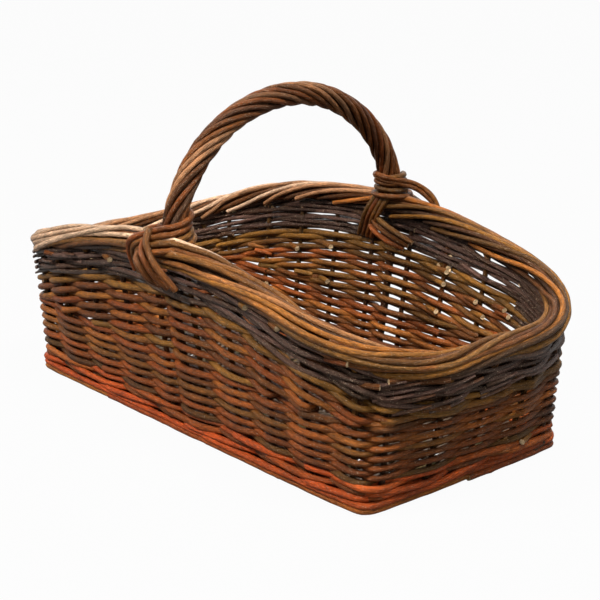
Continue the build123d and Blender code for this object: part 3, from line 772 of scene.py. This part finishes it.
# a stake's butt lies flat on the base, longer on the long sides, and its tail is rolled into the border
# the stakes' bark is mostly dark: a painted shade for the gaps between the woven rods in front of them
stake = {"sideButt": 34 * mm, "endButt": 12 * mm, "sideEdge": 8 * mm, "bend": 0.85, "bendRise": 4 * mm,
         "waist": 60 * mm, "neck": 8 * mm, "tailStart": 6 * mm, "tip": 5.0 * mm,
         "kinds": ["dark", "brown", "dark", "olive"]}
stakeRods = Bundle()
stickHeight = 0.5 * (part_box("base_edge_sticks")[0].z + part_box("base_edge_sticks")[1].z)
for n in range(stakeCount):
    share = shareAt(n)
    corner = wallSpot(share, stickHeight)
    inner = corner.copy()
    if abs(corner.y) > baseLine[1] - stake["sideEdge"]:
        inner.y -= math.copysign(stake["sideButt"], corner.y)
    else:
        inner.x -= math.copysign(stake["endButt"], corner.x)
    top = wallSpot(share, rimHeight(onLap(rimLine, rimQuarter, share)[0].x) - border["roll"])
    points = [inner, inner.lerp(corner, stake["bend"]), wallSpot(share, stickHeight + stake["bendRise"]),
              wallSpot(share, stake["waist"]), wallSpot(share, top.z - stake["neck"]), top]
    stakeRods.rod(points, upright["stake"], mixed(stake["kinds"]), stake["tip"], step=wideStep, cutStart=True)
    points = [wallSpot(share, top.z - stake["tailStart"]),
              rollSpot(shareAt(n + border["firstAhead"]), math.radians(border["firstTurn"]),
                       border["roll"] * border["firstReach"])]
    m = border["routeFrom"]
    sink = random.choice(border["sinks"]) * mm
    sway = random.uniform(0, 6.28)
    while m <= border["turns"][-1][0]:
        at = shareAt(n + m)
        turn = turnAt(m) + border["sway"] * math.sin(sway + border["swayWay"] * m)
        lump = random.uniform(-border["lumps"], border["lumps"]) * mm
        points.append(rollSpot(at, turn, border["roll"] + lump + sink * math.sin(m + sway)))
        m += strideAt(at)
    kinds = kindsAt(shareAt(n + border["coloursFrom"]))
    stakeRods.rod(points, border["thick"] * random.uniform(*border["uneven"]), mixed(kinds), border["thin"],
                  tipColour=mixed(kinds), cutEnd=True)
stakeRods.piece("stakesAndBorder", "border_willow", "front_end_stakes", "far_side_stakes",
                "back_end_stakes", "near_side_stakes")

# under the tails lie dark fillers, and in the roll's middle four rods on each side of the handle
# the fillers' and core rods' dark bark is a painted shade for the gaps between the tails
filler = {"first": 4.1, "last": 8.2, "ahead": 0.5, "under": 2.9 * mm, "thick": 5.4 * mm, "thin": 4.6 * mm,
          "kinds": ["dark", "brown"]}
core = {"rods": 4, "firstTurn": 0.4, "twist": 0.1, "reach": 3.6 * mm, "fromLeg": 0.008, "steps": 40,
        "thick": 5.2 * mm, "thin": 5.0 * mm, "kinds": ["brown", "dark"], "step": 8 * mm}
fillers = Bundle()
for n in range(stakeCount):
    points = []
    m = filler["first"]
    while m <= filler["last"]:
        at = shareAt(n + m + filler["ahead"])
        points.append(rollSpot(at, turnAt(m), border["roll"] - filler["under"]))
        m += strideAt(at)
    fillers.rod(points, filler["thick"], mixed(filler["kinds"]), filler["thin"],
                tipColour=mixed(filler["kinds"]))
backLength = nearLeg - farLeg
for start, length in ((farLeg, backLength), (nearLeg, 1 - backLength)):
    for k in range(core["rods"]):
        turn = math.pi / 2 * k + core["firstTurn"]
        points = []
        for j in range(core["steps"] + 1):
            share = start + core["fromLeg"] + (length - 2 * core["fromLeg"]) * j / core["steps"]
            points.append(rimSpot(share, turn + core["twist"] * j, core["reach"]))
        fillers.rod(points, core["thick"], mixed(core["kinds"]), core["thin"], step=core["step"], sides=6)
fillers.piece("borderCore", "border_willow", "border_core_rods")
print("border: rolled")

# handle

handle = {"rods": 9, "rod": 5.4 * mm, "lay": 150 * mm, "bow": bowRadius, "start": 0.1985, "tuck": 12 * mm,
          "steps": 44, "gap": 0.3 * mm, "loose": (-0.25, 0.35), "uneven": (0.90, 1.02), "tip": 0.92,
          "kinds": ["tan", "brown", "rust", "brown", "brown", "dark"],
          "spring": 0.183, "half": 0.134, "foot": [(0.1372, 0.176), (0.1366, 0.190)],
          "firstTurn": 8, "sweep": 164, "legHeights": (22 * mm, 80 * mm, 140 * mm), "legFoot": 6.4 * mm}
bowX = size["handlePlace"]
bowRise = size["bowTop"] - handle["spring"]


def bowPoint(t):
    # t runs from 0 at the near side of the rim to 1 at the far side, over the top
    turn = math.radians(handle["firstTurn"] + handle["sweep"] * t)
    return Vector((bowX, -handle["half"] * math.cos(turn), handle["spring"] + bowRise * math.sin(turn)))


bowLine = [Vector((bowX, -y, z)) for y, z in handle["foot"]]
bowLine += [bowPoint(t / 40) for t in range(41)]
bowLine += [Vector((bowX, y, z)) for y, z in reversed(handle["foot"])]
bowLine = smoothLine(bowLine, 2 * mm)
bowRun = [0.0]
for a, b in zip(bowLine, bowLine[1:]):
    bowRun.append(bowRun[-1] + (b - a).length)


def roundBow(distance, turn, reach):
    # no turn is on the bow's outer side, a quarter turn is towards the front
    i = min(range(len(bowRun)), key=lambda k: abs(bowRun[k] - distance))
    i = min(max(i, 1), len(bowLine) - 2)
    travel = (bowLine[i + 1] - bowLine[i - 1]).normalized()
    front = Vector((1, 0, 0))
    outer = front.cross(travel).normalized()
    here = bowLine[i] + travel * (distance - bowRun[i])
    return here + outer * (reach * math.cos(turn)) + front * (reach * math.sin(turn))


def runAt(height):
    # distance along the bow to a height on the near leg
    for k, p in enumerate(bowLine):
        if p.z >= height:
            return bowRun[k]
    return 0.0


rope = Bundle()
ropeStart = runAt(handle["start"]) - handle["tuck"]
ropeEnd = bowRun[-1] - ropeStart
for rod in range(handle["rods"]):
    points = []
    phase = 2 * math.pi * rod / handle["rods"]
    for k in range(handle["steps"] + 1):
        distance = ropeStart + (ropeEnd - ropeStart) * k / handle["steps"]
        turn = phase + 2 * math.pi * (distance - ropeStart) / handle["lay"]
        turn += 0.07 * math.sin(k * 0.5 + rod * 2.1)  # no rod lies quite even
        reach = handle["bow"] + handle["gap"] + handle["rod"] / 2 + random.uniform(*handle["loose"]) * mm
        points.append(roundBow(distance, turn, reach))
    rope.rod(points, handle["rod"] * random.uniform(*handle["uneven"]), mixed(handle["kinds"]),
             handle["rod"] * handle["tip"], tipColour=mixed(handle["kinds"]), step=fineStep, cutEnd=True)
rope.piece("handleRope", "handle_willow", *nodesOf("handle_rope_rod_", handle["rods"]))

bowRod = Bundle()
bowRod.rod(bowLine, 2 * handle["bow"], mixed(["brown", "dark"]), sides=12, step=wideStep)
for leg, joint in ((nearLeg, (bowLine[0], bowLine[4])), (farLeg, (bowLine[-1], bowLine[-5]))):
    points = [wallSpot(leg, height) for height in handle["legHeights"]]
    bowRod.rod(points + list(joint), handle["legFoot"], bark["dark"], upright["leg"], sides=10, cutStart=True)
bowRod.piece("handleBow", "handle_willow", "handle_bow")
print("handle: roped")

# bindings

binding = {"rod": 5.2 * mm, "uneven": (0.94, 1.06), "tip": 0.88, "kinds": ["olive", "rust", "brown", "brown"],
           "legHalf": 0.137, "clear": 2.6 * mm, "spreadBelow": 0.203, "spread": 0.5}


def legMiddle(side, height):
    # middle of the handle's leg at a height: side is -1 for the near leg and 1 for the far one
    if height < handle["spring"]:
        return side * binding["legHalf"]
    over = (height - handle["spring"]) / bowRise
    return side * (handle["half"] * math.sqrt(1 - over * over))


def aboutLeg(side, turn, height, extra=0.0):
    # place beside the roped leg: no turn is outside the basket, a quarter turn is towards the front
    reach = handle["bow"] + handle["rod"] + binding["clear"] + extra
    reach += max(0.0, binding["spreadBelow"] - height) * binding["spread"]
    angle = math.radians(turn)
    y = legMiddle(side, height) + side * reach * math.cos(angle)
    return Vector((bowX + reach * math.sin(angle), y, height))


def tie(bundle, points, thick=1.0):
    rod = binding["rod"] * thick
    bundle.rod(points, rod * random.uniform(*binding["uneven"]), mixed(binding["kinds"]),
               rod * binding["tip"], tipColour=mixed(binding["kinds"]), step=fineStep, cutStart=True,
               cutEnd=True)


# near foot: four rods come round the leg and down over the border, three more slant the other way, and
# three hold the border from above and inside
nearWinding = Bundle()
nearStraps = Bundle()
for k in range(4):
    high = 0.2130 - 0.0064 * k
    foot = -0.027 + 0.0066 * k
    around = [aboutLeg(-1, 200 - 50 * i, high + (3 - 3.4 * i) * mm) for i in range(4)]
    down = [aboutLeg(-1, 14, high - 9 * mm, 1.2 * mm),
            Vector((foot + 0.010, -0.1575, 0.5 * (high - 0.011 + 0.181))),
            Vector((foot, -0.1560, 0.178)), Vector((foot - 0.001, -0.1490, 0.158))]
    tie(nearWinding, around + down, 1.12)
for k in range(3):
    tie(nearStraps, [Vector((0.002 - 0.006 * k, -0.1530, 0.203 - 0.010 * k)),
                     Vector((0.008 - 0.006 * k, -0.1610 - 0.0012 * k, 0.192 - 0.008 * k)),
                     Vector((0.020 - 0.008 * k, -0.1620 - 0.0012 * k, 0.177 - 0.004 * k)),
                     Vector((0.030 - 0.010 * k, -0.1580 - 0.001 * k, 0.165 - 0.003 * k)),
                     Vector((0.038 - 0.012 * k, -0.1510, 0.153))], 1.25)
for k in range(3):
    top = 0.198 - 0.004 * k
    tie(nearStraps, [Vector((-0.012 + 0.006 * k, -0.1480, top)),
                     Vector((-0.014 + 0.007 * k, -0.1290, top - 0.001)),
                     Vector((-0.013 + 0.008 * k, -0.1235, 0.180)),
                     Vector((-0.010 + 0.009 * k, -0.1290, 0.160))])
nearWinding.piece("nearLegWinding", "binding_willow", "near_leg_winding")
nearStraps.piece("nearBorderBinding", "binding_willow", "near_border_binding")

# far foot: four level turns, two rods over the border outside, four down inside, and three slanting
farWinding = Bundle()
farStraps = Bundle()
for k in range(4):
    high = 0.2140 - 0.0064 * k
    around = [aboutLeg(1, 20 + 32 * i, high + 0.5 * mm * math.sin(i + k), 0.8 * mm) for i in range(11)]
    tie(farWinding, around)
for k in range(2):
    around = [aboutLeg(1, 190 - 40 * i, 0.2165 - 0.004 * k - 0.0022 * i, 1.5 * mm) for i in range(3)]
    down = [Vector((0.035 + 0.001 * k, 0.1440, 0.206 - 0.005 * k)),
            Vector((0.048, 0.1530, 0.195 - 0.006 * k)),
            Vector((0.056, 0.1555, 0.178)), Vector((0.058, 0.1500, 0.160))]
    tie(farWinding, around + down)
for k in range(4):
    tie(farStraps, [Vector((0.002 + 0.0058 * k, 0.1260, 0.197)),
                    Vector((-0.001 + 0.0058 * k, 0.1200, 0.189)),
                    Vector((-0.010 + 0.0060 * k, 0.1175, 0.174)),
                    Vector((-0.021 + 0.0062 * k, 0.1225, 0.159)),
                    Vector((-0.032 + 0.0064 * k, 0.1290, 0.146))])
for k in range(3):
    tie(farStraps, [Vector((0.003 - 0.004 * k, 0.1200, 0.173 - 0.006 * k)),
                    Vector((0.012 - 0.004 * k, 0.1180, 0.168 - 0.006 * k)),
                    Vector((0.029 - 0.004 * k, 0.1215, 0.160 - 0.006 * k)),
                    Vector((0.047 - 0.006 * k, 0.1280, 0.151 - 0.004 * k))], 1.08)
farWinding.piece("farLegWinding", "binding_willow", "far_leg_winding")
farStraps.piece("farBorderBinding", "binding_willow", "far_border_binding")
print("bindings: tied")

# base: its sticks and weavers keep their own shape and get bark

woodyLook = {"grain": 3.0, "span": (0.32, 0.68), "bump": 0.4, "bumpHeight": 0.4 * mm}


def woodyBark(name, low, high, stretch, gloss):
    # bark for a piece that has no rod colour of its own: streaks along one of its axes
    material, nodes, links = newMaterial(name)
    shader = nodes["Principled BSDF"]
    where = nodes.new("ShaderNodeTexCoord")
    streaks = stretched(nodes, stretch)
    grain = noise(nodes, woodyLook["grain"], 6)
    colours = nodes.new("ShaderNodeValToRGB")
    for element, place, tone in zip(colours.color_ramp.elements, woodyLook["span"], (low, high)):
        element.position = place
        element.color = (*tone, 1)
    links.new(where.outputs["Object"], streaks.inputs["Vector"])
    links.new(streaks.outputs["Vector"], grain.inputs["Vector"])
    links.new(grain.outputs["Fac"], colours.inputs["Fac"])
    links.new(colours.outputs["Color"], shader.inputs["Base Color"])
    shader.inputs["Roughness"].default_value = gloss
    raised(nodes, links, grain.outputs["Fac"], shader, woodyLook["bump"], woodyLook["bumpHeight"])
    return material


alongX = (20, 160, 160)
alongY = (160, 18, 160)
baseBark = {
    "base_edge_sticks": woodyBark("edgeStickBark", bark["dark"], bark["brown"], alongX, 0.6),
    "base_runners": woodyBark("runnerBark", bark["dark"], bark["brown"], alongX, 0.6),
    "base_weavers": woodyBark("weaverBark", bark["weaverDark"], bark["weaverPale"], alongY, 0.65),
}
for node, material in baseBark.items():
    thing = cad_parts[node]
    thing.data.materials.clear()
    thing.data.materials.append(material)

# weavers that fill the places beside the stake butts and along both ends
endFill = {"first": 212 * mm, "last": 236 * mm, "pitch": 4.4 * mm, "rod": 4.2 * mm, "reach": 99 * mm,
           "wave": 3.6 * mm, "beside": (-4.6, 0.0, 4.6), "onSide": 90 * mm, "places": 9}
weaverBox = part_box("base_weavers")
baseFill = Bundle()
columns = []
for n in range(stakeCount // 2):
    spot = wallSpot(shareAt(n), stickHeight)
    if abs(spot.y) > endFill["onSide"]:
        columns += [spot.x + d * mm for d in endFill["beside"]]
step = endFill["first"]
while step <= endFill["last"]:
    columns += [step, -step]
    step += endFill["pitch"]
for k, x in enumerate(sorted(columns)):
    points = []
    for j in range(endFill["places"]):
        y = endFill["reach"] * (2 * j / (endFill["places"] - 1) - 1)
        z = stickHeight + endFill["wave"] * (1 if (j + k) % 2 else -1)
        lowest = weaverBox[0].z + endFill["rod"] / 2
        points.append((x + random.uniform(-0.4, 0.4) * mm, y, max(z, lowest)))
    shade = tuple(c * random.uniform(0.7, 1.3) for c in bark["weaver"])
    baseFill.rod(points, endFill["rod"], shade, step=wideStep)
baseFill.piece("baseFill", "base_weaver_willow")
print("base: finished")

# short rods that close the packing along both ends and at the near back corner: first and last stake, and
# drop in mm
endPacking = Bundle()
shortRods = [(14, 17, 5.2), (14, 17, 2.6), (28, 31, 5.2), (28, 31, 2.6), (18, 19, 26.0), (18, 19, 31.2)]
for k, (first, last, drop) in enumerate(shortRods):
    weave(endPacking, first, last, packedAt(drop * mm), inAt(k, 2, True), packing["thick"], packing["thin"],
          mixed(packing["far"]), mixed(packing["far"]), pale=False)
endPacking.piece("endPacking", "packing_willow")

# camera, light and floor

view = {"azimuth": 49.73, "elevation": 16.68, "distance": 1.47301, "aim": (0.01135, 0.01335, 0.10687),
        "lens": 91.84, "sensor": 36, "farEnd": 20}
turn = math.radians(view["azimuth"])
tilt = math.radians(view["elevation"])
back = Vector((math.sin(turn) * math.cos(tilt), -math.cos(turn) * math.cos(tilt), math.sin(tilt)))
bpy.ops.object.camera_add(location=Vector(view["aim"]) + back * view["distance"],
                          rotation=(math.pi / 2 - tilt, 0, turn))
camera = bpy.context.object
camera.data.lens = view["lens"]
camera.data.sensor_width = view["sensor"]
camera.data.clip_end = view["farEnd"]
bpy.context.scene.camera = camera

lampAim = Vector((0, 0, 0.1))
lights = {
    "key": {"at": (-0.47, -1.85, 2.15), "size": 0.5, "power": 92, "colour": (1.0, 0.965, 0.92)},
    "top": {"at": (0.75, -0.1, 2.2), "size": 0.6, "power": 67, "colour": (1.0, 0.99, 0.98)},
    "fill": {"at": (2.2, -0.6, 1.2), "size": 2.0, "power": 19, "colour": (0.88, 0.95, 1.0)},
}
for name, lamp in lights.items():
    bpy.ops.object.light_add(type="AREA", location=lamp["at"])
    light = bpy.context.object
    light.name = name + "Light"
    light.data.size = lamp["size"]
    light.data.energy = lamp["power"]
    light.data.color = lamp["colour"]
    light.rotation_euler = (lampAim - Vector(lamp["at"])).to_track_quat("-Z", "Y").to_euler()

# the room is white where the camera or a reflection looks at it, and hardly lights the basket
studio = {"glow": 0.02, "white": (1, 1, 1, 1), "floor": (0.16, 0.16, 0.16, 1), "floorRough": 0.9,
          "floorWhite": 0.965, "floorRadius": 6.0, "floorDrop": 0.2 * mm}
world = bpy.data.worlds.new("studio")
bpy.context.scene.world = world
world.use_nodes = True
worldNodes = world.node_tree.nodes
worldLinks = world.node_tree.links
sky = worldNodes["Background"]
sky.inputs["Color"].default_value = studio["white"]
sky.inputs["Strength"].default_value = studio["glow"]
white = worldNodes.new("ShaderNodeBackground")
white.inputs["Color"].default_value = studio["white"]
white.inputs["Strength"].default_value = 1.0
rays = worldNodes.new("ShaderNodeLightPath")
seen = joined(worldNodes, worldLinks, "MAXIMUM", rays.outputs["Is Camera Ray"], rays.outputs["Is Glossy Ray"])
through = joined(worldNodes, worldLinks, "MAXIMUM", seen, rays.outputs["Is Transmission Ray"])
choose = worldNodes.new("ShaderNodeMixShader")
worldLinks.new(through, choose.inputs["Fac"])
worldLinks.new(sky.outputs["Background"], choose.inputs[1])
worldLinks.new(white.outputs["Background"], choose.inputs[2])
worldLinks.new(choose.outputs["Shader"], worldNodes["World Output"].inputs["Surface"])

# the floor is nearly white to the camera, with the basket's soft shadow on it
bpy.ops.mesh.primitive_circle_add(vertices=96, radius=studio["floorRadius"], fill_type="NGON",
                                  location=(0, 0, -studio["floorDrop"]))
floor = bpy.context.object
floor.name = "floor"
floorPaint, floorNodes, floorLinks = newMaterial("paleFloor")
matt = floorNodes["Principled BSDF"]
matt.inputs["Base Color"].default_value = studio["floor"]
matt.inputs["Roughness"].default_value = studio["floorRough"]
glow = floorNodes.new("ShaderNodeEmission")
glow.inputs["Color"].default_value = studio["white"]
glow.inputs["Strength"].default_value = 1.0
floorRays = floorNodes.new("ShaderNodeLightPath")
whiteness = floorNodes.new("ShaderNodeMath")
whiteness.operation = "MULTIPLY"
whiteness.inputs[1].default_value = studio["floorWhite"]
blendFloor = floorNodes.new("ShaderNodeMixShader")
floorLinks.new(floorRays.outputs["Is Camera Ray"], whiteness.inputs[0])
floorLinks.new(whiteness.outputs["Value"], blendFloor.inputs["Fac"])
floorLinks.new(matt.outputs["BSDF"], blendFloor.inputs[1])
floorLinks.new(glow.outputs["Emission"], blendFloor.inputs[2])
floorLinks.new(blendFloor.outputs["Shader"], floorNodes["Material Output"].inputs["Surface"])
floor.data.materials.append(floorPaint)

bpy.context.scene.view_settings.view_transform = "Standard"
print("studio: set")
